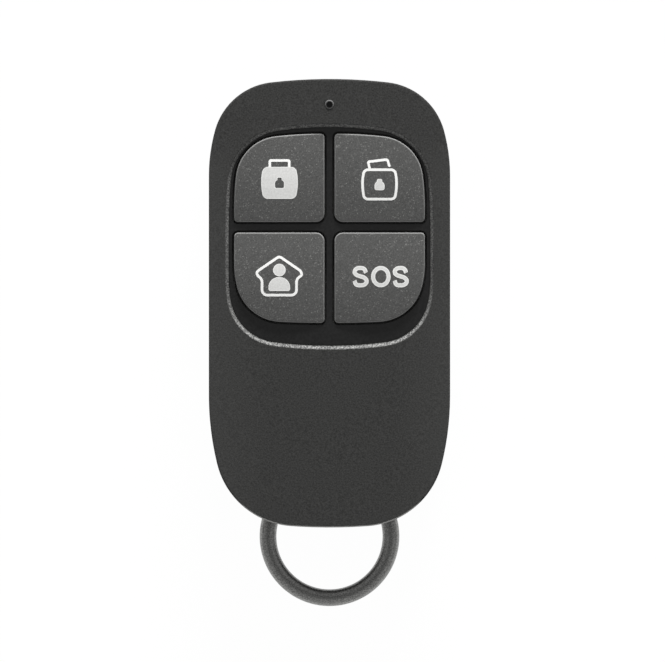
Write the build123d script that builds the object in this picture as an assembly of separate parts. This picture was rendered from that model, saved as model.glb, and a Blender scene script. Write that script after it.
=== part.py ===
from build123d import *
from math import atan, degrees, hypot, sqrt
import os

# Alarm key fob: a flat two-part case with four keys in a sunk black surround, a status light at
# the top end, a circuit board over a coin cell, and a round wire loop through the bottom end.
# Millimetres. The origin is the centre of the flat back, +Z points out of the front face, and
# +Y points to the status light, away from the loop.

# Case. The outline's ends are each drawn as one end arc, two corner arcs and two shoulder arcs
case_length = 58.0
case_width = 31.2
case_depth = 9.5
parting_height = 4.2
case_wall = 1.4
case_floor = 1.2
case_ceiling = 1.3
case_top_radii = (66.0, 8.5, 22.0)
case_top_setback = 12.5
case_bottom_radii = (70.0, 10.6, 37.5)
case_bottom_setback = 17.1
crown_across = 300.0
crown_along = 900.0
front_edge_radius = 0.25
back_edge_radius = 1.5
seam_chamfer = 0.12
overrun = 5.0

# Lip of the front cover, standing in a step of the rear cover's wall
lip_thickness = 0.6
lip_height = 0.8
lip_gap = 0.05

# Recess round the keys, cut through the front cover's ceiling
recess_side_margin = 2.6
recess_top_margin = 6.25
recess_length = 28.25
recess_top_radii = (44.4, 7.2, 75.0)
recess_top_setback = 13.2
recess_bottom_radii = (57.0, 6.5, 16.8)
recess_bottom_setback = 8.7
recess_bevel = 0.5

# Black surround that fills the recess and holds the keys in
surround_drop = 0.9
surround_flange = 0.8
surround_flange_thickness = 0.8
surround_gap = 0.05

# Keys: one outline for the group of four, parted by a column gap and a row gap
group_side_gap = 0.67
group_top_gap = 0.8
group_bottom_gap = 2.94
group_top_radii = (65.0, 5.8, 32.4)
group_top_setback = 9.5
group_bottom_radii = (137.0, 6.0, 11.6)
group_bottom_setback = 7.57
top_row_length = 11.44
column_gap = 1.3
row_gap = 1.38
key_centre_corner = 1.1
key_corner = 0.5
key_gap = 0.28
key_drop = 0.05
key_dome_radius = 50.0
key_edge_radius = 0.22
key_wall = 0.8
key_roof = 0.9
key_lip = 0.5
key_lip_thickness = 0.7
key_lip_gap = 0.1
key_post_radius = 1.3
keys = {"arm": (-1, 1), "disarm": (1, 1), "stay": (-1, -1), "panic": (1, -1)}

# Push switches under the keys, soldered to the board
switch_side = 4.5
switch_height = 1.15
switch_cover_thickness = 0.15
switch_cover_margin = 0.3
plunger_radius = 0.9
plunger_gap = 0.06
plunger_flange = 0.4
plunger_flange_thickness = 0.2
key_travel = 0.3

# Circuit board
board_thickness = 0.8
board_edge_gap = 1.0
board_end_gap = 0.55
board_screw_from_side = 4.7
board_screw_from_top = 5.3
board_boss_radius = 1.2
board_screw_radius = 0.7
board_screw_tip_gap = 1.1
board_screw_head_radius = 1.1
board_screw_head_height = 0.75
board_post_radius = 1.2
board_post_from_side = 2.7
board_post_over_line = 4.2
clamp_post_from_side = 2.7
clamp_post_from_end = 3.6
thread_gap = 0.04
hole_gap = 0.12

# Coin cell, its contacts, and the round rib that centres it
cell_radius = 10.0
cell_thickness = 2.5
cell_cap_radius = 8.8
cell_cap_height = 0.3
cell_ring_gap = 1.5
cell_rib_gap = 0.25
cell_rib_thickness = 0.8
cell_rib_drop = 0.3
contact_thickness = 0.2
contact_width = 4.0
contact_reach = 7.0
contact_foot = 1.6
contact_stand = 1.05
contact_clear = 0.35

# Parts soldered on the board. Their places are shares of the board's half width, across from
# its middle and up from its lower end.
chip_size = (4.9, 3.9, 1.4)
chip_shares = (-0.30, 0.39)
chip_lead = (0.4, 1.05, 0.25)
chip_lead_pitch = 1.27
chip_lead_count = 4
resonator_radius = 2.2
resonator_height = 1.3
resonator_rim = 0.3
resonator_shares = (0.26, 0.34)
transistor_size = (2.9, 1.3, 1.0)
transistor_shares = (0.26, 0.66)
capacitor_size = (1.6, 0.8, 0.7)
capacitor_shares = ((-0.30, 0.73), (-0.49, 0.73), (0.60, 0.56), (0.60, 0.68))
resistor_size = (1.6, 0.8, 0.45)
resistor_shares = ((0.02, 0.73), (-0.67, 0.56), (-0.67, 0.68), (0.48, 0.07))
aerial_width = 0.6
aerial_thickness = 0.15
aerial_edge_gap = 0.3
aerial_over_line = 3.0

# Status light: a lamp on the board and a smoked light pipe through the front cover
light_from_top = 3.3
pipe_radius = 0.63
pipe_gap = 0.02
pipe_proud = 0.15
pipe_edge_radius = 0.30
pipe_flange = 0.45
pipe_flange_thickness = 0.5
lamp_size = (1.6, 0.8, 0.6)

# Wire loop: a full ring, held round the case screw's boss by a channel through both covers
loop_radius = 7.97
loop_wire_radius = 1.09
loop_centre_drop = 1.19
loop_gap = 0.1
guide_width = 2.0

# Case screw, from the back into a boss of the front cover, inside the loop
screw_from_end = 3.55
screw_radius = 0.95
screw_tip_gap = 0.5
screw_head_radius = 1.7
screw_head_height = 1.2
screw_head_sink = 0.3
screw_head_gap = 0.2
screw_boss_radius = 1.7
screw_foot_wall = 0.8
screw_foot_height = 2.9
cross_width = 0.45
cross_length = 1.9
cross_depth = 0.6

# Hooks on the rear cover's top end, which snap into the front cover's wall
hook_width = 3.0
hook_thickness = 0.65
hook_from_centre = 5.0
hook_rise = 1.8
hook_nose = 0.3
hook_nose_height = 0.6
hook_gap = 0.1

# Heights and places worked out from the values above
case_half = case_width / 2
case_end = case_length / 2
ceiling_height = case_depth - case_ceiling
recess_top = case_end - recess_top_margin
recess_bottom = recess_top - recess_length
surround_height = case_depth - surround_drop
surround_flange_top = ceiling_height
surround_base = surround_flange_top - surround_flange_thickness
key_lip_top = surround_base - key_lip_gap
key_base = key_lip_top - key_lip_thickness
key_top = case_depth - key_drop
group_half = case_half - recess_side_margin - group_side_gap
group_top = recess_top - group_top_gap
group_bottom = recess_bottom + group_bottom_gap
row_line = group_top - top_row_length - row_gap / 2
loop_centre_y = -case_end - loop_centre_drop
loop_top = loop_centre_y + loop_radius + loop_wire_radius
board_half = case_half - case_wall - board_edge_gap
board_end = loop_top + board_end_gap
cell_place = (0, loop_top + cell_ring_gap + cell_radius)
cell_base = case_floor + contact_thickness
cell_top = cell_base + cell_thickness
board_base = cell_top + contact_thickness
board_top = board_base + board_thickness
switch_top = board_top + switch_height
light_place = (0, case_end - light_from_top)
board_screw_length = ceiling_height - board_screw_tip_gap - board_base
screw_length = ceiling_height - screw_tip_gap - screw_head_sink - screw_head_height
screw_place = (0, -case_end + screw_from_end)

STAND = (Align.CENTER, Align.CENTER, Align.MIN)


def rod(place, radius, low, high):
    """A round rod standing at place, between two heights."""
    return Pos(*place, low) * Cylinder(radius, high - low, align=STAND)


def block(place, size, low, high):
    """A rectangular block standing at place, between two heights."""
    return Pos(*place, low) * Box(*size, high - low, align=STAND)


def prism(face, low, high):
    """A flat face drawn up between two heights."""
    return extrude(Pos(0, 0, low) * face, amount=high - low, dir=(0, 0, 1))


def arc(start, end, centre):
    """The shorter arc about centre from start to end."""
    radius = (start - centre).length
    middle = centre + ((start - centre) + (end - centre)).normalized() * radius
    return ThreePointArc(start, middle, end)


def end_joints(half_width, tip, radii, setback):
    """Centres of an end's three arcs on the +X side, and the points where they meet."""
    end_radius, corner_radius, shoulder_radius = radii
    end_centre = Vector(0, tip - end_radius)
    shoulder_centre = Vector(half_width - shoulder_radius, tip - setback)
    line = shoulder_centre - end_centre
    end_reach = end_radius - corner_radius
    shoulder_reach = shoulder_radius - corner_radius
    along = (end_reach**2 - shoulder_reach**2 + line.length**2) / (2 * line.length)
    across = sqrt(end_reach**2 - along**2)
    way = line.normalized()
    corner_centre = end_centre + way * along + Vector(way.Y, -way.X) * across
    first = end_centre + (corner_centre - end_centre).normalized() * end_radius
    second = shoulder_centre + (corner_centre - shoulder_centre).normalized() * shoulder_radius
    return end_centre, corner_centre, shoulder_centre, first, second


def end_edges(half_width, tip, radii, setback, way):
    """The five arcs of one end, with way 1 for a top end and -1 for a bottom end."""
    points = end_joints(half_width, way * tip, radii, setback)
    right = [Vector(point.X, way * point.Y) for point in points]
    left = [Vector(-point.X, point.Y) for point in right]
    shoulder = Vector(half_width, tip - way * setback)
    edges = [arc(left[3], right[3], right[0])]
    for side, (_, corner, shoulder_centre, first, second) in ((1, right), (-1, left)):
        edges.append(arc(first, second, corner))
        edges.append(arc(second, Vector(side * shoulder.X, shoulder.Y), shoulder_centre))
    return edges


def outline(half_width, top, top_radii, top_setback, bottom, bottom_radii, bottom_setback):
    """A face with straight sides and two rounded ends."""
    edges = end_edges(half_width, top, top_radii, top_setback, 1)
    edges += end_edges(half_width, bottom, bottom_radii, bottom_setback, -1)
    for x in (half_width, -half_width):
        edges.append(Line((x, top - top_setback), (x, bottom + bottom_setback)))
    return make_face(edges)


def case_face():
    """Outline of the whole case."""
    return outline(case_half, case_end, case_top_radii, case_top_setback,
                   -case_end, case_bottom_radii, case_bottom_setback)


def recess_face():
    """Outline of the recess at its floor."""
    return outline(case_half - recess_side_margin, recess_top, recess_top_radii,
                   recess_top_setback, recess_bottom, recess_bottom_radii, recess_bottom_setback)


def group_face():
    """Outline of the four keys together."""
    return outline(group_half, group_top, group_top_radii, group_top_setback,
                   group_bottom, group_bottom_radii, group_bottom_setback)


def key_face(side, row):
    """Outline of one key: a quarter of the group, rounded where the gaps cut it."""
    corner = Vector(side * column_gap / 2, row_line + row * row_gap / 2)
    quarter = Pos(corner.X + side * case_width / 2, corner.Y + row * case_length / 2)
    face = group_face() & quarter * Rectangle(case_width, case_length)

    def near(vertex, x, y):
        return hypot(vertex.X - x, vertex.Y - y)

    inner = face.vertices().sort_by(lambda vertex: near(vertex, corner.X, corner.Y))[0]
    face = fillet(inner, key_centre_corner)
    outer = face.vertices().sort_by(lambda vertex: near(vertex, side * case_width, corner.Y))[0]
    face = fillet(outer, key_corner)
    tip = face.vertices().sort_by(lambda vertex: near(vertex, corner.X, row * case_length))[0]
    return fillet(tip, key_corner)


def key_middle(side, row):
    """Centre of a key, over its switch."""
    middle = key_face(side, row).bounding_box().center()
    return (middle.X, middle.Y)


def crown():
    """A block whose top is the crowned front face, curved both ways."""
    edge_x = case_width
    edge_drop = crown_across - sqrt(crown_across**2 - edge_x**2)
    edge = Vector(edge_x, case_depth - edge_drop)
    section = make_face([
        ThreePointArc((-edge.X, edge.Y), (0, case_depth), (edge.X, edge.Y)),
        Line((edge.X, edge.Y), (edge.X, -case_depth)),
        Line((edge.X, -case_depth), (-edge.X, -case_depth)),
        Line((-edge.X, -case_depth), (-edge.X, edge.Y)),
    ])
    half_turn = degrees(atan(case_length / crown_along))
    axis = Axis((0, 0, case_depth - crown_along), (1, 0, 0))
    section = (Plane.XZ * section).rotate(axis, -half_turn)
    return revolve(section, axis, 2 * half_turn)


def crown_height(place):
    """Height of the crowned front face at a place."""
    x, y = place
    across = crown_across - sqrt(crown_across**2 - x**2)
    return case_depth - crown_along + sqrt((crown_along - across)**2 - y**2)


def loop_channel():
    """The round channel that the wire loop runs in."""
    channel = Torus(loop_radius, loop_wire_radius + loop_gap)
    return Pos(0, loop_centre_y, parting_height) * channel


def mirrored(place):
    """A place and its mirror image across the fob."""
    return (place, (-place[0], place[1]))


def board_screw_places():
    """Places of the two board screws, beside the status light."""
    return mirrored((board_half - board_screw_from_side, case_end - board_screw_from_top))


def board_post_places():
    """Places of the two posts that the board rests on, under the upper keys."""
    return mirrored((board_half - board_post_from_side, row_line + board_post_over_line))


def clamp_post_places():
    """Places near the board's lower end where the two covers clamp it."""
    return mirrored((board_half - clamp_post_from_side, board_end + clamp_post_from_end))


def hook_bands(outer, width, low, high):
    """Two pieces of a band that follows the top wall, from outer to the hooks' inner face."""
    face = case_face()
    inner = case_wall + lip_gap + hook_thickness
    band = offset(face, -outer) - offset(face, -inner)
    return [prism(band & Pos(x, case_end) * Rectangle(width, case_half), low, high)
            for x in (hook_from_centre, -hook_from_centre)]


def hooks():
    """The rear cover's two hooks, each a shank with a nose at its tip."""
    tip = parting_height + hook_rise
    outer = case_wall + lip_gap
    return (hook_bands(outer, hook_width, case_floor, tip)
            + hook_bands(outer - hook_nose, hook_width, tip - hook_nose_height, tip))


def hook_slots():
    """The slots in the front cover's wall that the hooks' noses snap into."""
    tip = parting_height + hook_rise
    outer = case_wall + lip_gap - hook_nose - hook_gap
    return hook_bands(outer, hook_width + 2 * hook_gap,
                      tip - hook_nose_height - hook_gap, tip + hook_gap)


def crowned_face(cover):
    """The crowned front face of the cover."""
    return cover.faces().filter_by(GeomType.TORUS).sort_by(SortBy.AREA)[-1]


def front_cover():
    """Front half of the case, with the recess, the lip and everything moulded inside it."""
    face = case_face()
    inside = offset(face, -case_wall)
    cover = prism(face, parting_height, case_depth + overrun) & crown()
    cover -= prism(recess_face(), parting_height, case_depth + overrun)
    cover = chamfer(crowned_face(cover).inner_wires()[0].edges(), recess_bevel)
    cover = fillet(crowned_face(cover).outer_wire().edges(), front_edge_radius)
    seam = cover.faces().sort_by(Axis.Z)[0]
    cover = chamfer(seam.outer_wire().edges(), seam_chamfer)
    cover -= prism(inside, parting_height, ceiling_height)

    lip = offset(face, lip_thickness - case_wall) - inside
    cover += prism(lip, parting_height - lip_height, parting_height)
    cover += rod(screw_place, screw_boss_radius, screw_foot_height, ceiling_height)
    cover += front_guide()
    for place in board_screw_places():
        cover += rod(place, board_boss_radius, board_top, ceiling_height)
    for place in clamp_post_places():
        cover += rod(place, board_post_radius, board_top, ceiling_height)

    cover -= loop_channel()
    cover -= rod(screw_place, screw_radius + thread_gap, screw_foot_height, screw_hole_top())
    for place in board_screw_places():
        cover -= rod(place, board_screw_radius + thread_gap, board_top, board_hole_top())
    cover -= rod(light_place, pipe_radius + pipe_gap, parting_height, case_depth + overrun)
    for slot in hook_slots():
        cover -= slot
    return cover


def front_guide():
    """Rib over the hidden part of the loop, from the screw's boss to the board."""
    low_y = screw_place[1]
    length = loop_top + loop_gap + board_end_gap / 2 - low_y
    return block((0, low_y + length / 2), (guide_width, length), parting_height, ceiling_height)


def screw_hole_top():
    """Top of the case screw's hole in the front boss."""
    return screw_head_sink + screw_head_height + screw_length + thread_gap


def board_hole_top():
    """Top of a board screw's hole in its boss."""
    return board_base + board_screw_length + thread_gap


def rear_cover():
    """Back half of the case, a tray with the cell's rib, the clamping posts and the hooks."""
    face = case_face()
    inside = offset(face, -case_wall)
    cover = prism(face, 0, parting_height)
    base = cover.faces().sort_by(Axis.Z)[0]
    cover = fillet(base.outer_wire().edges(), back_edge_radius)
    seam = cover.faces().sort_by(Axis.Z)[-1]
    cover = chamfer(seam.outer_wire().edges(), seam_chamfer)
    cover -= prism(inside, case_floor, parting_height)
    step = offset(face, lip_thickness - case_wall + lip_gap)
    cover -= prism(step, parting_height - lip_height - lip_gap, parting_height)

    cover += cell_rib()
    for place in board_post_places() + clamp_post_places():
        cover += rod(place, board_post_radius, case_floor, board_base)
    cover -= rod(cell_place, cell_radius + cell_rib_gap, case_floor, board_base)
    cover += rear_guide()
    foot_radius = screw_head_radius + screw_head_gap + screw_foot_wall
    cover += rod(screw_place, foot_radius, case_floor, screw_foot_height)
    for piece in hooks():
        cover += piece

    head_top = screw_head_sink + screw_head_height
    cover -= loop_channel()
    cover -= rod(screw_place, screw_head_radius + screw_head_gap, -overrun, head_top)
    cover -= rod(screw_place, screw_radius + hole_gap, 0, screw_foot_height)
    return cover


def rear_guide():
    """Rib under the hidden part of the loop."""
    low_y = loop_top - 2 * loop_wire_radius
    length = 2 * loop_wire_radius + loop_gap + board_end_gap / 2
    return block((0, low_y + length / 2), (guide_width, length), case_floor, parting_height)


def cell_rib():
    """Round rib that centres the cell, open where the side contact passes."""
    inner = cell_radius + cell_rib_gap
    height = cell_top - cell_rib_drop
    rib = rod(cell_place, inner + cell_rib_thickness, case_floor, height)
    rib -= rod(cell_place, inner, case_floor, height)
    gap_x = cell_place[0] - cell_radius - contact_stand
    gap = (2 * contact_stand + 2 * contact_clear, contact_width + 2 * contact_clear)
    return rib - block((gap_x, cell_place[1]), gap, case_floor, height)


def surround():
    """Black frame of the keys: a raised floor in the recess with a flange under the ceiling."""
    piece = prism(offset(recess_face(), -surround_gap), surround_base, surround_height)
    flange = offset(recess_face(), surround_flange)
    piece += prism(flange, surround_base, surround_flange_top)
    for side, row in keys.values():
        window = offset(key_face(side, row), key_gap)
        piece -= prism(window, surround_base, surround_height)
    for place in board_screw_places():
        piece -= rod(place, board_boss_radius + hole_gap, surround_base, surround_height)
    return piece


def key_cap(side, row):
    """One hollow key with a domed top, a lip that stops it, and a post over its switch."""
    face = key_face(side, row)
    middle = key_middle(side, row)
    dome = Pos(*middle, key_top - key_dome_radius) * Rot(90, 0, 0) * Sphere(key_dome_radius)
    cap = prism(face, key_base, case_depth) & dome
    top = cap.faces().sort_by(Axis.Z)[-1]
    cap = fillet(top.outer_wire().edges(), key_edge_radius)
    cap += prism(offset(face, key_lip), key_base, key_lip_top)
    cap -= prism(offset(face, -key_wall), key_base, key_top - key_roof)
    cap += rod(middle, key_post_radius, key_base, key_top - key_roof)
    return cap


def switch_body(place):
    """Moulded base of a push switch with the well of its plunger."""
    top = switch_top - switch_cover_thickness
    well_floor = plunger_foot() - key_travel - plunger_gap
    body = block(place, (switch_side, switch_side), board_top, top)
    well = plunger_radius + plunger_flange + plunger_gap
    return body - rod(place, well, well_floor, top)


def switch_cover(place):
    """Sheet metal cover of a push switch."""
    side = switch_side - switch_cover_margin
    cover = block(place, (side, side), switch_top - switch_cover_thickness, switch_top)
    return cover - rod(place, plunger_radius + plunger_gap, board_top, switch_top)


def plunger_foot():
    """Height of the underside of a plunger's flange, at rest."""
    return switch_top - switch_cover_thickness - plunger_gap - plunger_flange_thickness


def switch_plunger(place):
    """Round plunger held under its cover by a flange, up to the key's post."""
    foot = plunger_foot()
    flange = plunger_radius + plunger_flange
    plunger = rod(place, flange, foot, foot + plunger_flange_thickness)
    return plunger + rod(place, plunger_radius, foot, key_base)


def circuit_board():
    """The board: the case's outline, cut short of the loop, with its two screw holes."""
    face = offset(case_face(), -case_wall - board_edge_gap)
    face &= Pos(0, board_end + case_length / 2) * Rectangle(case_width, case_length)
    board = prism(face, board_base, board_top)
    for place in board_screw_places():
        board -= rod(place, board_screw_radius + hole_gap, board_base, board_top)
    return board


def aerial():
    """Flat copper aerial under the board, following its edge round the top end."""
    outer = offset(case_face(), -case_wall - board_edge_gap - aerial_edge_gap)
    strip = outer - offset(outer, -aerial_width)
    low = row_line + aerial_over_line
    strip &= Pos(0, low + case_length / 2) * Rectangle(case_width, case_length)
    for place in board_screw_places():
        strip -= Pos(*place) * Circle(board_screw_head_radius + hole_gap)
    return prism(strip, board_base - aerial_thickness, board_base)


def coin_cell():
    """Coin cell with its smaller cap towards the board."""
    shoulder = cell_top - cell_cap_height
    return rod(cell_place, cell_radius, cell_base, shoulder) + rod(
        cell_place, cell_cap_radius, shoulder, cell_top)


def positive_contact():
    """Sheet clip from the board, down past the cell's side and under the cell."""
    x, y = cell_place
    stand = x - cell_radius - contact_stand
    under = block((stand + contact_reach / 2, y), (contact_reach, contact_width),
                  cell_base - contact_thickness, cell_base)
    leg = block((stand + contact_thickness / 2, y), (contact_thickness, contact_width),
                cell_base - contact_thickness, board_base)
    foot = block((stand + contact_foot / 2, y), (contact_foot, contact_width),
                 cell_top, board_base)
    return under + leg + foot


def negative_contact():
    """Sheet contact under the board, on the cell's cap."""
    return block(cell_place, (contact_reach, contact_width), cell_top, board_base)


def board_spot(shares):
    """The place on the board that two shares of its half width give."""
    across, up = shares
    return (board_half * across, board_end + board_half * up)


def on_board(place, size):
    """A block soldered on the board."""
    width, depth, height = size
    return block(place, (width, depth), board_top, board_top + height)


def encoder_chip():
    """Eight-lead chip that codes the signal."""
    width, depth, _ = chip_size
    lead_width, lead_length, _ = chip_lead
    middle = board_spot(chip_shares)
    chip = on_board(middle, chip_size)
    first = -(chip_lead_count - 1) / 2
    for step in range(chip_lead_count):
        x = middle[0] + (first + step) * chip_lead_pitch
        for way in (1, -1):
            y = middle[1] + way * (depth + lead_length) / 2
            chip += on_board((x, y), chip_lead)
    return chip


def resonator():
    """Round metal can that sets the radio's frequency."""
    spot = board_spot(resonator_shares)
    rim = rod(spot, resonator_radius + resonator_rim, board_top, board_top + resonator_rim)
    return rim + rod(spot, resonator_radius, board_top, board_top + resonator_height)


def light_pipe():
    """Smoked light pipe with a domed end, just proud of the front face."""
    top = crown_height(light_place) + pipe_proud
    shoulder = ceiling_height - pipe_flange_thickness
    pipe = rod(light_place, pipe_radius, shoulder, top)
    pipe = fillet(pipe.faces().sort_by(Axis.Z)[-1].edges(), pipe_edge_radius)
    return pipe + rod(light_place, pipe_radius + pipe_flange, shoulder, ceiling_height)


def wire_loop():
    """The loop: one closed ring of round wire."""
    return Pos(0, loop_centre_y, parting_height) * Torus(loop_radius, loop_wire_radius)


def screw(place, radius, length, head_radius, head_height, head_base):
    """A pan-head screw pointing up, with a cross in its head."""
    head_top = head_base + head_height
    piece = rod(place, head_radius, head_base, head_top)
    piece += rod(place, radius, head_top, head_top + length)
    for size in ((cross_length, cross_width), (cross_width, cross_length)):
        piece -= block(place, size, head_base, head_base + cross_depth)
    return piece


def board_screws():
    """The two screws that hold the board to the front cover."""
    base = board_base - board_screw_head_height
    screws = [screw(place, board_screw_radius, board_screw_length, board_screw_head_radius,
                    board_screw_head_height, base) for place in board_screw_places()]
    return Compound(children=screws)


def grouped(spots, size):
    """Like small parts on the board, as separate solids."""
    return Compound(children=[on_board(board_spot(shares), size) for shares in spots])


def pieces():
    """Every piece of the fob by name."""
    made = {
        "front_cover": front_cover(),
        "rear_cover": rear_cover(),
        "key_surround": surround(),
        "circuit_board": circuit_board(),
        "aerial": aerial(),
        "coin_cell": coin_cell(),
        "positive_contact": positive_contact(),
        "negative_contact": negative_contact(),
        "encoder_chip": encoder_chip(),
        "resonator": resonator(),
        "radio_transistor": on_board(board_spot(transistor_shares), transistor_size),
        "capacitors": grouped(capacitor_shares, capacitor_size),
        "resistors": grouped(resistor_shares, resistor_size),
        "status_lamp": block(light_place, lamp_size[:2], board_top, board_top + lamp_size[2]),
        "light_pipe": light_pipe(),
        "board_screws": board_screws(),
        "case_screw": screw(screw_place, screw_radius, screw_length, screw_head_radius,
                            screw_head_height, screw_head_sink),
        "wire_loop": wire_loop(),
    }
    for name, (side, row) in keys.items():
        place = key_middle(side, row)
        made[name + "_key"] = key_cap(side, row)
        made[name + "_switch"] = switch_body(place)
        made[name + "_switch_cover"] = switch_cover(place)
        made[name + "_plunger"] = switch_plunger(place)
    return made


os.makedirs("parts", exist_ok=True)
for name, piece in pieces().items():
    export_step(piece, f"parts/{name}.step")
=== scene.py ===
from math import cos, pi, radians, sin, sqrt

import bmesh
import bpy
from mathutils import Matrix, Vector
from mathutils.bvhtree import BVHTree


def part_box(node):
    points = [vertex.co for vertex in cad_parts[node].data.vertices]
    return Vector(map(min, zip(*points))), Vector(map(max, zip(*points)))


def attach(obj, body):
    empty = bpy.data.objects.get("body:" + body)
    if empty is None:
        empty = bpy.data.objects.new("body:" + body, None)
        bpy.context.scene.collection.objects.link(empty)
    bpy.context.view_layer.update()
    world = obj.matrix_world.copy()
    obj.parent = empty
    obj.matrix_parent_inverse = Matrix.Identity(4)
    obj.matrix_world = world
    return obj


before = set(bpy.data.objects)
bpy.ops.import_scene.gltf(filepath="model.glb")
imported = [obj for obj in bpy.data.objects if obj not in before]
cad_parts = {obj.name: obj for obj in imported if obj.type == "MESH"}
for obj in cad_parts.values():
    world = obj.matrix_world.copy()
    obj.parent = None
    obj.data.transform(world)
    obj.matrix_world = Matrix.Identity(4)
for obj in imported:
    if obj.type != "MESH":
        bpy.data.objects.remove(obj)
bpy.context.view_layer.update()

# Camera. The photograph looks straight down on the fob from far away, with the wire loop at the
# bottom, so a long lens hangs over the front face with +Y up the picture.
mm = 0.001
view_middle = (0.39 * mm, -3.59 * mm)
view_width = 86.0 * mm
front_plane = 8.5 * mm
lens_length = 800
sensor_width = 36
seen_range = (0.01, 10)
lens = bpy.data.cameras.new("camera")
lens.lens = lens_length
lens.sensor_width = sensor_width
lens.clip_start, lens.clip_end = seen_range
camera = bpy.data.objects.new("camera", lens)
camera.location = (*view_middle, front_plane + view_width * lens_length / sensor_width)
bpy.context.scene.collection.objects.link(camera)
bpy.context.scene.camera = camera

bpy.context.scene.view_settings.view_transform = "Standard"


# Floor and light. The fob lies on a white table inside a white tent, whose ceiling is dim and
# whose walls are paler, most of all by the loop. One soft lamp stands beyond the status light, low
# enough that the case hides it from the wire loop, and it isn't seen in reflections. The table is
# near white to the camera and in reflections, but keeps a faint shadow.
def linear(hex_colour):
    """The linear colour of an sRGB hex value."""
    shares = [int(hex_colour[at:at + 2], 16) / 255 for at in (1, 3, 5)]
    return (*[s / 12.92 if s <= 0.04045 else ((s + 0.055) / 1.055) ** 2.4 for s in shares], 1)


def add(tree, kind, sockets=None, **settings):
    """Adds a node with its settings, and sets or links its sockets."""
    made = tree.nodes.new("ShaderNode" + kind)
    for name, value in settings.items():
        setattr(made, name, value)
    for name, value in (sockets or {}).items():
        if isinstance(value, bpy.types.NodeSocket):
            tree.links.new(value, made.inputs[name])
        else:
            made.inputs[name].default_value = value
    return made


ceiling_light = 0.18
wall_light = 0.26                 # what the walls add to the light of the ceiling
wall_top = 0.80                   # upward share of the direction in which they are in full
loop_side_growth = 0.30           # power by which the tent grows brighter towards the loop
room = bpy.data.worlds.new("room")
room.use_nodes = True
tree = room.node_tree
tree.nodes.clear()
look = add(tree, "TexCoord")
way = add(tree, "SeparateXYZ", {"Vector": look.outputs["Generated"]})

growth = add(tree, "Math", {0: way.outputs["Y"], 1: -loop_side_growth}, operation="MULTIPLY")
growth = add(tree, "Math", {0: growth.outputs[0]}, operation="EXPONENT")
tent = add(tree, "MapRange", {"Value": way.outputs["Z"], "From Min": 1.0, "From Max": wall_top,
                              "To Min": ceiling_light, "To Max": ceiling_light + wall_light})
both = add(tree, "Math", {0: tent.outputs["Result"], 1: growth.outputs[0]},
           operation="MULTIPLY")
sky = add(tree, "Background", {"Color": (1, 1, 1, 1), "Strength": both.outputs[0]})
add(tree, "OutputWorld", {"Surface": sky.outputs["Background"]})
bpy.context.scene.world = room

lamp_distance = 2.5
lamp_height_angle = 15
lamp_side_angle = 6
lamp_size = (1.00, 0.40)
lamp_power = 132
glow = bpy.data.lights.new("soft_lamp", "AREA")
glow.shape = "RECTANGLE"
glow.size, glow.size_y = lamp_size
glow.energy = lamp_power
soft_lamp = bpy.data.objects.new("soft_lamp", glow)
low_reach = lamp_distance * cos(radians(lamp_height_angle))
soft_lamp.location = (low_reach * sin(radians(lamp_side_angle)),
                      low_reach * cos(radians(lamp_side_angle)),
                      lamp_distance * sin(radians(lamp_height_angle)))
soft_lamp.rotation_euler = soft_lamp.location.to_track_quat("Z", "Y").to_euler()
soft_lamp.visible_camera = False
soft_lamp.visible_glossy = False
bpy.context.scene.collection.objects.link(soft_lamp)

floor_half = 3.0
floor_drop = 0.02 * mm
shadowless = 0.97                 # share of its own white that the floor shows to the eye
own_white = 1.01                  # strength of that white
table = bmesh.new()
bmesh.ops.create_grid(table, x_segments=1, y_segments=1, size=floor_half)
bmesh.ops.translate(table, verts=table.verts[:], vec=(0, 0, -floor_drop))
floor_mesh = bpy.data.meshes.new("floor")
table.to_mesh(floor_mesh)
floor = bpy.data.objects.new("floor", floor_mesh)
bpy.context.scene.collection.objects.link(floor)
white_table = bpy.data.materials.new("white_table")
white_table.use_nodes = True
tree = white_table.node_tree
tree.nodes.clear()
ray = add(tree, "LightPath")
seen = add(tree, "Math", {0: ray.outputs["Is Camera Ray"], 1: ray.outputs["Is Glossy Ray"]},
           operation="MAXIMUM")
seen = add(tree, "Math", {0: seen.outputs[0], 1: ray.outputs["Is Transmission Ray"]},
           operation="MAXIMUM")
share = add(tree, "Math", {0: seen.outputs[0], 1: shadowless}, operation="MULTIPLY")
lit = add(tree, "BsdfDiffuse", {"Color": linear("#f4f4f3")})
white = add(tree, "Emission", {"Color": (1, 1, 1, 1), "Strength": own_white})
table_top = add(tree, "MixShader", {0: share.outputs[0], 1: lit.outputs[0], 2: white.outputs[0]})
clear = add(tree, "BsdfTransparent")
side = add(tree, "NewGeometry")
under = add(tree, "MixShader", {0: side.outputs["Backfacing"], 1: table_top.outputs[0],
                                2: clear.outputs[0]})
add(tree, "OutputMaterial", {"Surface": under.outputs[0]})
floor_mesh.materials.append(white_table)


# Front and rear cover. Two shells of charcoal ABS, moulded in a spark-eroded tool and snapped
# together at the top end. The tool leaves the same fine grain all over, and its high spots are
# rubbed a little smoother and paler.
def finish(name, colour, roughness, **sockets):
    """A new material with one shader: the material, its nodes, its shader and the place on it."""
    made = bpy.data.materials.new(name)
    made.use_nodes = True
    nodes = made.node_tree
    shader = nodes.nodes["Principled BSDF"]
    shader.inputs["Base Color"].default_value = linear(colour)
    shader.inputs["Roughness"].default_value = roughness
    for socket, value in sockets.items():
        shader.inputs[socket.replace("_", " ")].default_value = value
    return made, nodes, shader, add(nodes, "TexCoord").outputs["Object"]


def link(nodes, shader, socket, output):
    """Feeds a socket of the shader from another node."""
    nodes.links.new(output, shader.inputs[socket])


def dress(material, *names):
    """Gives CAD nodes their material."""
    for name in names:
        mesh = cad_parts[name].data
        mesh.materials.clear()
        mesh.materials.append(material)


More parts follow.
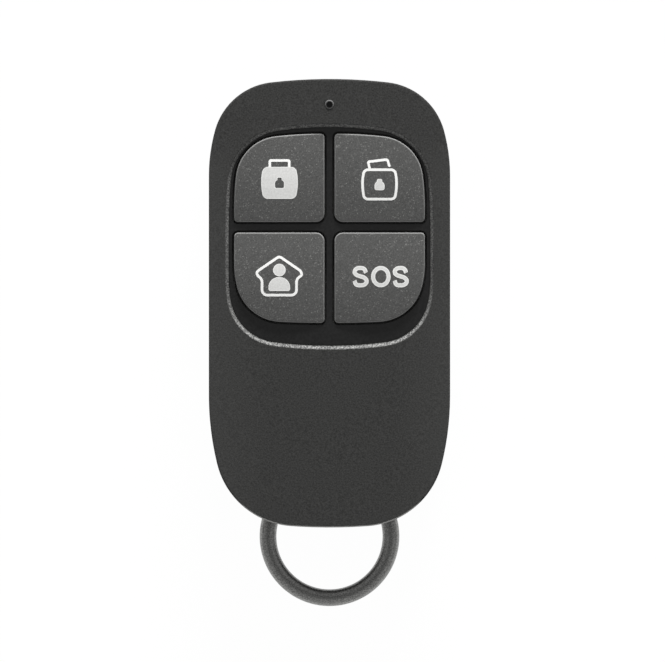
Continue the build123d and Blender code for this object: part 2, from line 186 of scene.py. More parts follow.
# Spark-eroded ABS: matt, neutral charcoal, with an even pebble about 0.2 mm across that breaks
# every highlight into sparkle, and duller where the surface leans. The chamfer round the keys is
# smooth and glossy, and painted pale as a painted highlight, most of all below the keys. The edge
# over the loop is painted pale as a painted highlight, and the sides are painted a little paler
# as painted light.
spark_pebble = 0.20 * mm
spark_depth = 0.022 * mm
spark_gloss = (0.60, 0.44)        # roughness, from the hollows to the high spots
rim_gloss = 0.90
chamfer_gloss = 0.44
pebble_strength = (0.8, 0.4)           # strength of the pebble, as moulded and on the chamfer
spark_abs, nodes, shader, place = finish("spark_eroded_abs", "#313130", 0.50, IOR=1.53)
pebble = add(nodes, "TexNoise", {"Vector": place, "Scale": 1 / spark_pebble, "Detail": 2.0,
                                 "Roughness": 0.6})
shade = add(nodes, "ValToRGB", {"Fac": pebble.outputs["Fac"]})
shade.color_ramp.elements[0].position = 0.30
shade.color_ramp.elements[0].color = linear("#262625")
shade.color_ramp.elements[1].position = 0.72
shade.color_ramp.elements[1].color = linear("#414140")
spots = add(nodes, "MapRange", {"Value": pebble.outputs["Fac"], "From Min": 0.35,
                                "From Max": 0.75, "To Min": spark_gloss[0],
                                "To Max": spark_gloss[1]})

# The chamfer is found by a box round it, and by its height under the crowned face.
recess_middle = (0, 8.4 * mm, 9.2 * mm)
recess_reach = (14.3 * mm, 15.0 * mm, 0.8 * mm)
around = add(nodes, "VectorMath", {0: place, 1: recess_middle}, operation="SUBTRACT")
around = add(nodes, "VectorMath", {0: around.outputs[0]}, operation="ABSOLUTE")
around = add(nodes, "VectorMath", {0: around.outputs[0], 1: recess_reach}, operation="DIVIDE")
around = add(nodes, "SeparateXYZ", {"Vector": around.outputs[0]})
far = add(nodes, "Math", {0: around.outputs["X"], 1: around.outputs["Y"]}, operation="MAXIMUM")
far = add(nodes, "Math", {0: far.outputs[0], 1: around.outputs["Z"]}, operation="MAXIMUM")
inside = add(nodes, "Math", {0: far.outputs[0], 1: 1.0}, operation="LESS_THAN")

crown_across = 300 * mm
crown_along = 900 * mm
crown_curve = (1 / (2 * crown_across), 1 / (2 * crown_along), 0)
face_top = 9.5 * mm
chamfer_half = 0.25 * mm
highlight_band_shares = (1.1, 0.3)           # of half the chamfer, from its edge to where its painted highlight is strongest
rim_highlight_shares = (1.5, 1.1)        # the same for the edge over the loop
leaning = (0.97, 0.85)            # upward part of the normal, from level to fully leaning
at = add(nodes, "SeparateXYZ", {"Vector": place})
crown = add(nodes, "VectorMath", {0: place, 1: crown_curve}, operation="MULTIPLY")
crown = add(nodes, "VectorMath", {0: crown.outputs[0], 1: place}, operation="DOT_PRODUCT")
level = add(nodes, "Math", {0: at.outputs["Z"], 1: crown.outputs["Value"]}, operation="ADD")
level = add(nodes, "Math", {0: level.outputs[0], 1: face_top - chamfer_half},
            operation="SUBTRACT")
level = add(nodes, "Math", {0: level.outputs[0]}, operation="ABSOLUTE")
highlight_band = add(nodes, "MapRange", {"Value": level.outputs[0],
                              "From Min": highlight_band_shares[0] * chamfer_half,
                              "From Max": highlight_band_shares[1] * chamfer_half})
rim_highlight_band = add(nodes, "MapRange", {"Value": level.outputs[0],
                                 "From Min": rim_highlight_shares[0] * chamfer_half,
                                 "From Max": rim_highlight_shares[1] * chamfer_half})
lean = add(nodes, "NewGeometry")
lean = add(nodes, "SeparateXYZ", {"Vector": lean.outputs["True Normal"]})
lean = add(nodes, "MapRange", {"Value": lean.outputs["Z"], "From Min": leaning[0],
                               "From Max": leaning[1]})
# Painted highlight on the chamfer round the keys: a pale colour stands in for the light it
# catches.
chamfer_highlight = add(nodes, "Math", {0: inside.outputs[0], 1: lean.outputs["Result"]},
           operation="MULTIPLY")
chamfer_highlight = add(nodes, "Math", {0: chamfer_highlight.outputs[0], 1: highlight_band.outputs["Result"]}, operation="MULTIPLY")

# The chamfer's painted highlight is strongest along its lower side, which faces the lamp.
highlight_along = (1 * mm, -4 * mm)   # Y, from where the painted highlight is weaker to where it is strongest
highlight_above = 0.55
highlight_below = add(nodes, "MapRange", {"Value": at.outputs["Y"], "From Min": highlight_along[0],
                                "From Max": highlight_along[1], "To Min": highlight_above})
chamfer_highlight = add(nodes, "Math", {0: chamfer_highlight.outputs[0], 1: highlight_below.outputs["Result"]},
           operation="MULTIPLY")

# Painted highlight on the rim over the loop: a pale colour stands in for the floor's reflection
# there.
rim_highlight_along = (-25.6 * mm, -26.4 * mm)      # Y, from unpainted to the painted highlight
low_end = add(nodes, "MapRange", {"Value": at.outputs["Y"], "From Min": rim_highlight_along[0],
                                  "From Max": rim_highlight_along[1]})
painted_rim_highlight = add(nodes, "Math", {0: low_end.outputs["Result"], 1: lean.outputs["Result"]},
              operation="MULTIPLY")
painted_rim_highlight = add(nodes, "Math", {0: painted_rim_highlight.outputs[0], 1: rim_highlight_band.outputs["Result"]},
              operation="MULTIPLY")

# Painted light: the sides of the face are painted a little paler, where the light rises towards
# the edges.
side_light_across = (8 * mm, 15.6 * mm)             # X, from unpainted to the side
side_light_along = (22 * mm, 17 * mm)               # Y, from unpainted to painted
side_light_share = 0.12
aside = add(nodes, "Math", {0: at.outputs["X"]}, operation="ABSOLUTE")
painted_side_light = add(nodes, "MapRange", {"Value": aside.outputs[0], "From Min": side_light_across[0],
                                  "From Max": side_light_across[1], "To Max": side_light_share})
below_top = add(nodes, "MapRange", {"Value": at.outputs["Y"], "From Min": side_light_along[0],
                                    "From Max": side_light_along[1]})
painted_side_light = add(nodes, "Math", {0: painted_side_light.outputs["Result"], 1: below_top.outputs["Result"]},
              operation="MULTIPLY")

# Pale, speckled colour of the chamfer's painted highlight.
speck = add(nodes, "MapRange", {"Value": pebble.outputs["Fac"], "From Min": 0.40,
                                "From Max": 0.66})
chamfer_highlight_shade = add(nodes, "MixRGB", {"Fac": speck.outputs["Result"],
                                     "Color1": linear("#505050"),
                                     "Color2": linear("#a4a4a2")})
# Painted light: paler sides, then the chamfer's painted highlight and the loop rim's painted
# highlight.
colour = add(nodes, "MixRGB", {"Fac": painted_side_light.outputs[0], "Color1": shade.outputs["Color"],
                               "Color2": linear("#5c5c5b")})
colour = add(nodes, "MixRGB", {"Fac": chamfer_highlight.outputs[0], "Color1": colour.outputs["Color"],
                               "Color2": chamfer_highlight_shade.outputs["Color"]})
colour = add(nodes, "MixRGB", {"Fac": painted_rim_highlight.outputs[0], "Color1": colour.outputs["Color"],
                               "Color2": linear("#a6a6a4")})
rim = add(nodes, "MapRange", {"Value": lean.outputs["Result"],
                              "To Min": spots.outputs["Result"], "To Max": rim_gloss})
gloss = add(nodes, "MapRange", {"Value": chamfer_highlight.outputs[0], "To Min": rim.outputs["Result"],
                                "To Max": chamfer_gloss})
grain = add(nodes, "MapRange", {"Value": chamfer_highlight.outputs[0], "To Min": pebble_strength[0],
                                "To Max": pebble_strength[1]})
relief = add(nodes, "Bump", {"Height": pebble.outputs["Fac"], "Distance": spark_depth,
                             "Strength": grain.outputs["Result"]})
link(nodes, shader, "Base Color", colour.outputs["Color"])
link(nodes, shader, "Roughness", gloss.outputs["Result"])
link(nodes, shader, "Normal", relief.outputs["Normal"])
dress(spark_abs, "front_cover", "rear_cover")

# Key surround. A black ABS frame dropped into the front cover from inside. Its tool is only
# fine-blasted, so it is smoother and darker than the case.
blast_grit = 0.30 * mm            # real grit is 0.05 mm, drawn coarser so that it shows
blast_depth = 0.004 * mm
blasted_abs, nodes, shader, place = finish("blasted_black_abs", "#121212", 0.32, IOR=1.60)
grit = add(nodes, "TexNoise", {"Vector": place, "Scale": 1 / blast_grit, "Detail": 2.0})
shade = add(nodes, "ValToRGB", {"Fac": grit.outputs["Fac"]})
shade.color_ramp.elements[0].position = 0.35
shade.color_ramp.elements[0].color = linear("#141414")
shade.color_ramp.elements[1].position = 0.70
shade.color_ramp.elements[1].color = linear("#202020")
relief = add(nodes, "Bump", {"Height": grit.outputs["Fac"], "Distance": blast_depth,
                             "Strength": 0.6})
link(nodes, shader, "Base Color", shade.outputs["Color"])
link(nodes, shader, "Normal", relief.outputs["Normal"])
dress(blasted_abs, "key_surround")

# Keys. Four hollow caps of grey ABS with aluminium flake in it, moulded in a satin tool. The
# flakes lie at slightly different tilts, so they catch the light as a fine speckle. The rims of
# the caps are duller, and painted paler as a painted highlight.
flake_size = 0.11 * mm
flake_tilt = 0.18
satin_pebble = 0.35 * mm
satin_depth = 0.006 * mm
cap_gloss = (0.52, 0.75)          # roughness, on the dome and on the rim
cap_leaning = (0.97, 0.75)        # upward part of the normal, from the dome to the rim
flaked_abs, nodes, shader, place = finish("flaked_grey_abs", "#5a5a59", cap_gloss[0],
                                          IOR=1.53, Metallic=0.1)
flakes = add(nodes, "TexVoronoi", {"Vector": place, "Scale": 1 / flake_size})
pick = add(nodes, "SeparateColor", {"Color": flakes.outputs["Color"]})
shade = add(nodes, "ValToRGB", {"Fac": pick.outputs["Red"]})
shade.color_ramp.elements[0].position = 0.0
shade.color_ramp.elements[0].color = linear("#525251")
shade.color_ramp.elements[1].position = 0.93
shade.color_ramp.elements[1].color = linear("#5f5f5e")
spark = shade.color_ramp.elements.new(1.0)
spark.color = linear("#868684")
satin = add(nodes, "TexNoise", {"Vector": place, "Scale": 1 / satin_pebble, "Detail": 2.0})
tilt = add(nodes, "VectorMath", {0: flakes.outputs["Color"], 1: (0.5, 0.5, 0.5)},
           operation="SUBTRACT")
tilt = add(nodes, "VectorMath", {0: tilt.outputs[0], "Scale": flake_tilt}, operation="SCALE")
lean = add(nodes, "NewGeometry")
tilt = add(nodes, "VectorMath", {0: tilt.outputs[0], 1: lean.outputs["Normal"]}, operation="ADD")
tilt = add(nodes, "VectorMath", {0: tilt.outputs[0]}, operation="NORMALIZE")
relief = add(nodes, "Bump", {"Height": satin.outputs["Fac"], "Distance": satin_depth,
                             "Strength": 0.6, "Normal": tilt.outputs[0]})
rim = add(nodes, "SeparateXYZ", {"Vector": lean.outputs["True Normal"]})
rim = add(nodes, "MapRange", {"Value": rim.outputs["Z"], "From Min": cap_leaning[0],
                              "From Max": cap_leaning[1]})
# Painted highlight: the rims of the caps are painted paler.
colour = add(nodes, "MixRGB", {"Fac": rim.outputs["Result"], "Color1": shade.outputs["Color"],
                               "Color2": linear("#8a8a89")})
gloss = add(nodes, "MapRange", {"Value": rim.outputs["Result"], "To Min": cap_gloss[0],
                                "To Max": cap_gloss[1]})
link(nodes, shader, "Base Color", colour.outputs["Color"])
link(nodes, shader, "Roughness", gloss.outputs["Result"])
link(nodes, shader, "Normal", relief.outputs["Normal"])
dress(flaked_abs, "arm_key", "disarm_key", "stay_key", "panic_key")

# Closed padlock on the arm key. All four legends are pad-printed in pale grey two-part ink.
# The pad squeezes the ink outwards, so each film is whiter along its edges.
ink_height = 0.02 * mm
ink_sink = 0.01 * mm
ink_cell = 0.5 * mm               # size of the patches that let the film follow the dome
ink_cells_each_way = 9
ink_cell_shift = 0.37             # share of a patch that keeps the cuts off the drawing's lines
thick_edge = 0.13 * mm
corner_steps = 8
merge_gap = 0.001 * mm


def outline(points, spare=None):
    """A flat face through points given as x, y and how far their corner is rounded, in mm."""
    drawing = spare or bmesh.new()
    corners = [drawing.verts.new((x * mm, y * mm, 0)) for x, y, _ in points]
    drawing.faces.new(corners)
    for corner, (_, _, rounding) in zip(corners, points):
        if rounding:
            bmesh.ops.bevel(drawing, geom=[corner], offset=rounding * mm, offset_type="OFFSET",
                            affect="VERTICES", segments=corner_steps, profile=0.5, material=-1)
    return drawing


def both_sides(half):
    """The whole outline of a shape from the points of its right half, top to bottom."""
    return half + [(-x, y, rounding) for x, y, rounding in reversed(half)]


def hollowed(points, stroke):
    """The line drawn along the inside of an outline."""
    drawing = outline(points)
    middle = drawing.faces[:]
    bmesh.ops.inset_region(drawing, faces=middle, thickness=stroke * mm, use_boundary=True,
                           use_even_offset=True)
    bmesh.ops.delete(drawing, geom=middle, context="FACES")
    return drawing


def solid(points, hole=()):
    """An outline filled in, with a border for its whiter edge, and a hole where it has one."""
    drawing = outline(points)
    if hole:
        outline(hole, drawing)
        bmesh.ops.delete(drawing, geom=drawing.faces[:], context="FACES_ONLY")
        bmesh.ops.triangle_fill(drawing, use_beauty=True, edges=drawing.edges[:])
    return bordered(drawing)


def bordered(drawing):
    """A filled drawing with a border for its whiter edge."""
    bmesh.ops.inset_region(drawing, faces=drawing.faces[:], thickness=thick_edge,
                           use_boundary=True, use_even_offset=True)
    return drawing


def moved(drawing, x, y):
    """A drawing shifted in millimetres."""
    bmesh.ops.translate(drawing, verts=drawing.verts[:], vec=(x * mm, y * mm, 0))
    return drawing


def joined(*drawings):
    """Several drawings as one mesh."""
    whole = bmesh.new()
    for drawing in drawings:
        sheet = bpy.data.meshes.new("part_of_legend")
        drawing.to_mesh(sheet)
        whole.from_mesh(sheet)
        bpy.data.meshes.remove(sheet)
    return whole


def printed(name, key, drawing):
    """Prints a flat drawing on a key: a thin film of ink that follows its domed top."""
    edge = drawing.verts.layers.float.new("thick_edge")
    for vertex in drawing.verts:
        vertex[edge] = float(vertex.is_boundary)
    for axis in (Vector((1, 0, 0)), Vector((0, 1, 0))):
        for step in range(-ink_cells_each_way, ink_cells_each_way + 1):
            bmesh.ops.bisect_plane(
                drawing, geom=drawing.verts[:] + drawing.edges[:] + drawing.faces[:],
                dist=merge_gap, plane_co=axis * ink_cell * (step + ink_cell_shift),
                plane_no=axis)
    film = bmesh.ops.extrude_face_region(drawing, geom=drawing.faces[:])["geom"]
    bmesh.ops.translate(drawing, vec=(0, 0, ink_height + ink_sink),
                        verts=[part for part in film if isinstance(part, bmesh.types.BMVert)])

    cap = bmesh.new()
    cap.from_mesh(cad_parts[key].data)
    surface = BVHTree.FromBMesh(cap, epsilon=merge_gap)
    low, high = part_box(key)
    for vertex in drawing.verts:
        x = (low[0] + high[0]) / 2 + vertex.co.x
        y = (low[1] + high[1]) / 2 + vertex.co.y
        above = Vector((x, y, high[2] + mm))
        hit = surface.ray_cast(above, Vector((0, 0, -1)))[0] or surface.find_nearest(above)[0]
        vertex.co = (x, y, hit.z + vertex.co.z - ink_sink)
    bmesh.ops.recalc_face_normals(drawing, faces=drawing.faces[:])
    for face in drawing.faces:
        face.smooth = False
    mesh = bpy.data.meshes.new(name)
    drawing.to_mesh(mesh)
    legend = bpy.data.objects.new(name, mesh)
    bpy.context.scene.collection.objects.link(legend)
    mesh.materials.append(pad_ink)
    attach(legend, key + "_body")


# Pad-printing ink: thin, opaque and slightly silky, pale grey with a whiter border.
ink_mottle = 0.22 * mm
pad_ink, nodes, shader, place = finish("pad_printed_ink", "#d2d2d0", 0.45, IOR=1.48)
border = add(nodes, "Attribute", attribute_name="thick_edge")
mottle = add(nodes, "TexNoise", {"Vector": place, "Scale": 1 / ink_mottle, "Detail": 1.0})
thin_ink = add(nodes, "MixRGB", {"Fac": mottle.outputs["Fac"], "Color1": linear("#d0d0ce"),
                                 "Color2": linear("#f0f0ee")})
ink = add(nodes, "MixRGB", {"Fac": border.outputs["Fac"], "Color1": thin_ink.outputs["Color"],
                            "Color2": linear("#fefefc")})
link(nodes, shader, "Base Color", ink.outputs["Color"])

lock_body = [(2.14, 1.40, 0.62), (2.46, -0.62, 1.00), (2.12, -2.74, 0.62)]
keyhole = [(0.27, 0.01, 0.13), (0.28, -0.33, 0.03), (0.58, -0.47, 0.24), (0.58, -1.33, 0.20)]
shackle = [(1.42, 1.40, 0), (1.42, 2.39, 0.32), (-1.42, 2.39, 0.32), (-1.42, 1.40, 0),
           (-1.09, 1.40, 0), (-1.09, 2.06, 0.08), (1.09, 2.06, 0.08), (1.09, 1.40, 0)]
closed_lock_shift = (0.03, 0)
printed("closed_padlock_legend", "arm_key",
        moved(joined(solid(both_sides(lock_body), both_sides(keyhole)), outline(shackle)),
              *closed_lock_shift))

# Open padlock on the disarm key. The same lock as a line drawing, with a solid keyhole and its
# shackle tipped open, free of the body on the right.
lock_line = 0.34
open_shackle = [(-1.44, 1.40, 0), (-1.68, 2.40, 0.36), (1.14, 2.74, 0.36), (1.46, 1.61, 0.15),
                (1.13, 1.58, 0.15), (0.91, 2.38, 0.10), (-1.30, 2.11, 0.10), (-1.11, 1.40, 0)]
big_keyhole = [(0.34, 0.04, 0.20), (0.34, -0.31, 0.03), (0.65, -0.49, 0.32),
               (0.65, -1.42, 0.28)]
open_lock_shift = (-0.02, -0.20)
printed("open_padlock_legend", "disarm_key",
        moved(joined(hollowed(both_sides(lock_body), lock_line), outline(open_shackle),
                     bordered(outline(both_sides(big_keyhole)))), *open_lock_shift))

# House with a person on the stay key: the roof's eaves stand out past the walls, and a solid
# head and shoulders fill the room.
house_line = 0.34
house = [(0.20, 2.85, 0.22), (3.06, 0.89, 0.45), (3.06, 0.22, 0.40), (2.40, -0.24, 0.30),
         (2.40, -2.41, 0.85)]
shoulders = [(1.40, 0.09, 1.32), (1.40, -1.71, 0.28)]
head_radius = 0.81
head_place = (0.013, 1.003)
head_steps = 40
head = bmesh.new()
bmesh.ops.create_circle(head, cap_ends=True, segments=head_steps, radius=head_radius * mm)
printed("house_legend", "stay_key",
        joined(hollowed(both_sides(house), house_line), solid(both_sides(shoulders)),
               moved(bordered(head), *head_place)))

# Distress letters on the panic key, drawn in one even bold stroke without serifs.
letter_stroke = 0.53
letter_middle = 0.15
letter_steps = 8
s_line = [(0.70, 0.50), (0.45, 0.99), (-0.04, 1.12), (-0.57, 0.98), (-0.77, 0.60), (-0.58, 0.27),
          (-0.04, 0.04), (0.52, -0.17), (0.78, -0.58), (0.54, -0.99), (-0.02, -1.12),
          (-0.57, -1.00), (-0.79, -0.52)]
o_line = [(0.0, 1.12), (-1.0, 0.0), (0.0, -1.12), (1.0, 0.0)]
letters = [(s_line, False, -2.47), (o_line, True, 0.15), (s_line, False, 2.72)]


def ribbon(points, closed, across):
    """A flat stroke of even width along a smooth line."""
    line = bpy.data.curves.new("stroke", "CURVE")
    line.dimensions = "3D"
    line.twist_mode = "Z_UP"
    line.extrude = letter_stroke / 2 * mm
    line.resolution_u = letter_steps
    path = line.splines.new("BEZIER")
    path.use_cyclic_u = closed
    path.bezier_points.add(len(points) - 1)
    for spot, (x, y) in zip(path.bezier_points, points):
        spot.co = ((x + across) * mm, (y + letter_middle) * mm, 0)
        spot.handle_left_type = spot.handle_right_type = "AUTO"
        spot.tilt = radians(90)
    holder = bpy.data.objects.new("stroke", line)
    bpy.context.scene.collection.objects.link(holder)
    bpy.context.view_layer.update()
    sheet = bpy.data.meshes.new_from_object(
        holder.evaluated_get(bpy.context.evaluated_depsgraph_get()))
    drawing = bmesh.new()
    drawing.from_mesh(sheet)
    bpy.data.objects.remove(holder)
    bpy.data.curves.remove(line)
    bpy.data.meshes.remove(sheet)
    bmesh.ops.remove_doubles(drawing, verts=drawing.verts[:], dist=merge_gap)
    return drawing


printed("sos_legend", "panic_key", joined(*[bordered(ribbon(*row)) for row in letters]))

# Wire loop. Spring steel wire bent to a ring and welded shut, then given a satin grey coat. It
# is round, so it shows the pale walls of the tent on its flanks and the dim ceiling along its
# middle, with the fine speckle of the coat in both.
coat_patch = 0.8 * mm
coat_powder = 0.16 * mm
peel_depth = 0.004 * mm
coated_steel, nodes, shader, place = finish("satin_coated_steel", "#787877", 0.37, Metallic=0.85)
patches = add(nodes, "TexNoise", {"Vector": place, "Scale": 1 / coat_patch, "Detail": 3.0})
powder = add(nodes, "TexNoise", {"Vector": place, "Scale": 1 / coat_powder, "Detail": 1.0})
powder = add(nodes, "MapRange", {"Value": powder.outputs["Fac"], "From Min": 0.35,
                                 "From Max": 0.65})
shade = add(nodes, "MixRGB", {"Fac": powder.outputs["Result"], "Color1": linear("#6f6f6e"),
                              "Color2": linear("#9e9e9c")})
gloss = add(nodes, "MapRange", {"Value": patches.outputs["Fac"], "To Min": 0.26,
                                "To Max": 0.38})
orange_peel = add(nodes, "Bump", {"Height": patches.outputs["Fac"], "Distance": peel_depth,
                                  "Strength": 0.4})
link(nodes, shader, "Roughness", gloss.outputs["Result"])
link(nodes, shader, "Normal", orange_peel.outputs["Normal"])
link(nodes, shader, "Base Color", shade.outputs["Color"])
dress(coated_steel, "wire_loop")

# Light pipe. A plug of smoked polycarbonate, turned on a small lathe. Its end is polished and
# looks black until the lamp under it is lit. Its rounded shoulder is left frosted, and is painted
# paler, partly for the frost and partly as a painted highlight.
pipe_gloss = (0.12, 0.50)         # roughness, on the polished end and on the frosted shoulder
pipe_leaning = (0.97, 0.88)       # upward part of the normal, from the end to the shoulder
haze_grain = 0.1 * mm
smoked_pc, nodes, shader, place = finish("smoked_polycarbonate", "#050505", pipe_gloss[0],
                                         IOR=1.585, Specular_IOR_Level=0.35)
lean = add(nodes, "NewGeometry")
lean = add(nodes, "SeparateXYZ", {"Vector": lean.outputs["True Normal"]})
frosted = add(nodes, "MapRange", {"Value": lean.outputs["Z"], "From Min": pipe_leaning[0],
                                  "From Max": pipe_leaning[1]})
haze = add(nodes, "TexNoise", {"Vector": place, "Scale": 1 / haze_grain})
frost_and_highlight = add(nodes, "MixRGB", {"Fac": haze.outputs["Fac"], "Color1": linear("#505050"),
                              "Color2": linear("#767675")})
shade = add(nodes, "MixRGB", {"Fac": frosted.outputs["Result"], "Color1": linear("#040404"),
                              "Color2": frost_and_highlight.outputs["Color"]})
gloss = add(nodes, "MapRange", {"Value": frosted.outputs["Result"], "To Min": pipe_gloss[0],
                                "To Max": pipe_gloss[1]})
link(nodes, shader, "Base Color", shade.outputs["Color"])
link(nodes, shader, "Roughness", gloss.outputs["Result"])
dress(smoked_pc, "light_pipe")

# Screws. Case-hardened steel in black zinc, with cross heads formed cold. The plating is thin
# and slightly cloudy.
cloud_patch = 0.5 * mm
black_zinc, nodes, shader, place = finish("black_zinc_steel", "#4c4c4e", 0.36, Metallic=1.0)
cloud = add(nodes, "TexNoise", {"Vector": place, "Scale": 1 / cloud_patch, "Detail": 4.0})
shade = add(nodes, "MixRGB", {"Fac": cloud.outputs["Fac"], "Color1": linear("#3b3b3e"),
                              "Color2": linear("#5a5a5b")})
gloss = add(nodes, "MapRange", {"Value": cloud.outputs["Fac"], "To Min": 0.28, "To Max": 0.48})
link(nodes, shader, "Base Color", shade.outputs["Color"])
link(nodes, shader, "Roughness", gloss.outputs["Result"])
dress(black_zinc, "case_screw", "board_screws")

# Circuit board. Glass-epoxy laminate under green solder mask: the copper under the mask shows
# as paler tracks, which run side by side and turn square, and the glass cloth as a faint weave.
weave_pitch = 0.5 * mm
weave_depth = 0.01 * mm
track_field = 6.5 * mm
track_pitch = 0.9 * mm
track_width = 0.32 * mm
bare_half = 1.6 * mm              # half the bare square in the middle of each field of tracks
bare_fields = 0.25                # share of the fields that have no tracks
masked_board, nodes, shader, place = finish("green_masked_glass_epoxy", "#14512f", 0.28,
                                            IOR=1.55, Coat_Weight=0.3)
field = add(nodes, "TexVoronoi", {"Vector": place, "Scale": 1 / track_field},
            voronoi_dimensions="2D", distance="CHEBYCHEV")
lanes = add(nodes, "Math", {0: field.outputs["Distance"], 1: track_field / track_pitch},
            operation="MULTIPLY")
lanes = add(nodes, "Math", {0: lanes.outputs[0]}, operation="FRACT")
lanes = add(nodes, "Math", {0: lanes.outputs[0], 1: track_width / track_pitch},
            operation="LESS_THAN")
outside = add(nodes, "Math", {0: field.outputs["Distance"], 1: bare_half / track_field},
              operation="GREATER_THAN")
lanes = add(nodes, "Math", {0: lanes.outputs[0], 1: outside.outputs[0]}, operation="MULTIPLY")
routed = add(nodes, "SeparateColor", {"Color": field.outputs["Color"]})
routed = add(nodes, "Math", {0: routed.outputs["Red"], 1: bare_fields},
             operation="GREATER_THAN")
lanes = add(nodes, "Math", {0: lanes.outputs[0], 1: routed.outputs[0]}, operation="MULTIPLY")
tracks = add(nodes, "MixRGB", {"Fac": lanes.outputs[0], "Color1": linear("#124a2b"),
                               "Color2": linear("#22683f")})
one_band = pi / (5 * sqrt(2))     # pitch of the wave texture's slanting bands at a scale of 1
cloth = add(nodes, "TexWave", {"Vector": place, "Scale": one_band / weave_pitch},
            bands_direction="DIAGONAL")
relief = add(nodes, "Bump", {"Height": cloth.outputs["Fac"], "Distance": weave_depth,
                             "Strength": 0.5})
link(nodes, shader, "Base Color", tracks.outputs["Color"])
link(nodes, shader, "Normal", relief.outputs["Normal"])
dress(masked_board, "circuit_board")

# Aerial. One strip of bare rolled copper under the board, tarnished in soft patches.
tarnish_patch = 1.5 * mm
bare_copper, nodes, shader, place = finish("bare_rolled_copper", "#c98a62", 0.32, Metallic=1.0)
tarnish = add(nodes, "TexNoise", {"Vector": place, "Scale": 1 / tarnish_patch, "Detail": 3.0})
shade = add(nodes, "MixRGB", {"Fac": tarnish.outputs["Fac"], "Color1": linear("#a8653f"),
                              "Color2": linear("#d79a72")})
link(nodes, shader, "Base Color", shade.outputs["Color"])
dress(bare_copper, "aerial")

# Coin cell. A deep-drawn steel can plated with nickel, its flat faces turned and so marked with
# fine rings about its centre.
ring_pitch = 0.25 * mm
ring_depth = 0.003 * mm
one_ring = pi / 10                # pitch of the wave texture's rings at a scale of 1
low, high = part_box("coin_cell")
cell_middle = [(a + b) / 2 for a, b in zip(low, high)]
nickel_can, nodes, shader, place = finish("nickel_plated_can", "#c8c5be", 0.24, Metallic=1.0)
centred = add(nodes, "Mapping", {"Vector": place, "Location": [-part for part in cell_middle]})
rings = add(nodes, "TexWave", {"Vector": centred.outputs["Vector"],
                               "Scale": one_ring / ring_pitch, "Distortion": 0.4},
            wave_type="RINGS", rings_direction="Z")
relief = add(nodes, "Bump", {"Height": rings.outputs["Fac"], "Distance": ring_depth,
                             "Strength": 0.5})
link(nodes, shader, "Normal", relief.outputs["Normal"])
dress(nickel_can, "coin_cell")

# Cell contacts. Spring bronze sheet plated with tin, cut and folded, with the rolling marks
# along each strip.
rolling_mark = 0.12 * mm
rolled_share = 0.06               # of the marks' density, left along the strip
tinned_sheet, nodes, shader, place = finish("tinned_spring_sheet", "#c9c4b6", 0.30, Metallic=1.0)
stretched = add(nodes, "Mapping", {"Vector": place, "Scale": (rolled_share, 1.0, 1.0)})
rolled = add(nodes, "TexNoise", {"Vector": stretched.outputs["Vector"],
                                 "Scale": 1 / rolling_mark, "Detail": 2.0})
gloss = add(nodes, "MapRange", {"Value": rolled.outputs["Fac"], "To Min": 0.22, "To Max": 0.42})
link(nodes, shader, "Roughness", gloss.outputs["Result"])
dress(tinned_sheet, "positive_contact", "negative_contact")

# Push switches. Each is a black nylon base under a bright sheet cover, with an off-white acetal
# plunger between the key's post and its dome.
mould_depth = 0.004 * mm
gloss_spread = (-0.08, 0.12)      # added to the roughness at the grain's two ends
keys = ("arm", "disarm", "stay", "panic")
for title, colour, roughness, metal, mark, names in (
        ("black_nylon_base", "#1d1d1d", 0.48, 0.0, 0.30 * mm, [k + "_switch" for k in keys]),
        ("bright_sheet_cover", "#c4c4c2", 0.26, 1.0, 0.20 * mm,
         [k + "_switch_cover" for k in keys]),
        ("off_white_acetal", "#cdc8ba", 0.38, 0.0, 0.40 * mm, [k + "_plunger" for k in keys])):
    moulded, nodes, shader, place = finish(title, colour, roughness, Metallic=metal)
    grain = add(nodes, "TexNoise", {"Vector": place, "Scale": 1 / mark, "Detail": 2.0})
    gloss = add(nodes, "MapRange", {"Value": grain.outputs["Fac"],
                                    "To Min": roughness + gloss_spread[0],
                                    "To Max": roughness + gloss_spread[1]})
    relief = add(nodes, "Bump", {"Height": grain.outputs["Fac"], "Distance": mould_depth,
                                 "Strength": 0.5})
    link(nodes, shader, "Roughness", gloss.outputs["Result"])
    link(nodes, shader, "Normal", relief.outputs["Normal"])
    dress(moulded, *names)

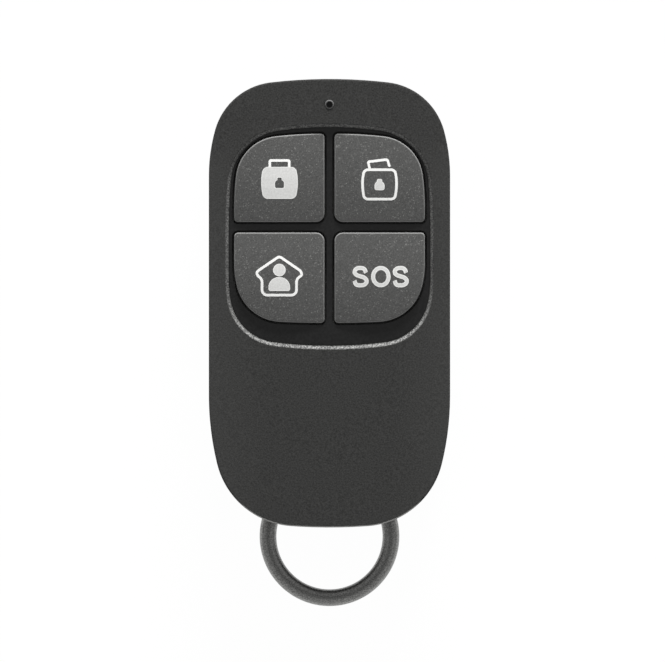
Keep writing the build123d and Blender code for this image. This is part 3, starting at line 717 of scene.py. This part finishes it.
# Parts soldered on the board. The chip, transistor and resistors are moulded in black epoxy
# with a fine filler in it.
filler_grain = 0.1 * mm
filler_depth = 0.005 * mm
filled_epoxy, nodes, shader, place = finish("silica_filled_epoxy", "#1a1a1b", 0.60, IOR=1.5)
filler = add(nodes, "TexNoise", {"Vector": place, "Scale": 1 / filler_grain, "Detail": 2.0})
shade = add(nodes, "MixRGB", {"Fac": filler.outputs["Fac"], "Color1": linear("#141415"),
                              "Color2": linear("#242425")})
relief = add(nodes, "Bump", {"Height": filler.outputs["Fac"], "Distance": filler_depth,
                             "Strength": 0.6})
link(nodes, shader, "Base Color", shade.outputs["Color"])
link(nodes, shader, "Normal", relief.outputs["Normal"])
dress(filled_epoxy, "encoder_chip", "radio_transistor", "resistors")

# Capacitors: fired barium ceramic, tan, with a slight glaze and darker specks.
ceramic_speck = 0.15 * mm
fired_ceramic, nodes, shader, place = finish("fired_tan_ceramic", "#a08866", 0.40, IOR=1.6)
speck = add(nodes, "TexNoise", {"Vector": place, "Scale": 1 / ceramic_speck, "Detail": 3.0})
shade = add(nodes, "MixRGB", {"Fac": speck.outputs["Fac"], "Color1": linear("#8c7353"),
                              "Color2": linear("#b39a76")})
link(nodes, shader, "Base Color", shade.outputs["Color"])
dress(fired_ceramic, "capacitors")

# Resonator: a can pressed from plated steel and welded to its rim, satin from the press.
press_mark = 0.25 * mm
pressed_can, nodes, shader, place = finish("pressed_plated_can", "#c6c1b1", 0.28, Metallic=1.0)
satin = add(nodes, "TexNoise", {"Vector": place, "Scale": 1 / press_mark, "Detail": 3.0})
gloss = add(nodes, "MapRange", {"Value": satin.outputs["Fac"], "To Min": 0.20, "To Max": 0.40})
link(nodes, shader, "Roughness", gloss.outputs["Result"])
dress(pressed_can, "resonator")

# Lamp of the status light: a surface lamp cast in clear resin over a yellowish phosphor.
phosphor_grain = 0.3 * mm
cast_resin, nodes, shader, place = finish("cast_lamp_resin", "#ded2b0", 0.18, IOR=1.53)
phosphor = add(nodes, "TexNoise", {"Vector": place, "Scale": 1 / phosphor_grain})
shade = add(nodes, "MixRGB", {"Fac": phosphor.outputs["Fac"], "Color1": linear("#d8c48c"),
                              "Color2": linear("#e8e0c8")})
link(nodes, shader, "Base Color", shade.outputs["Color"])
dress(cast_resin, "status_lamp")
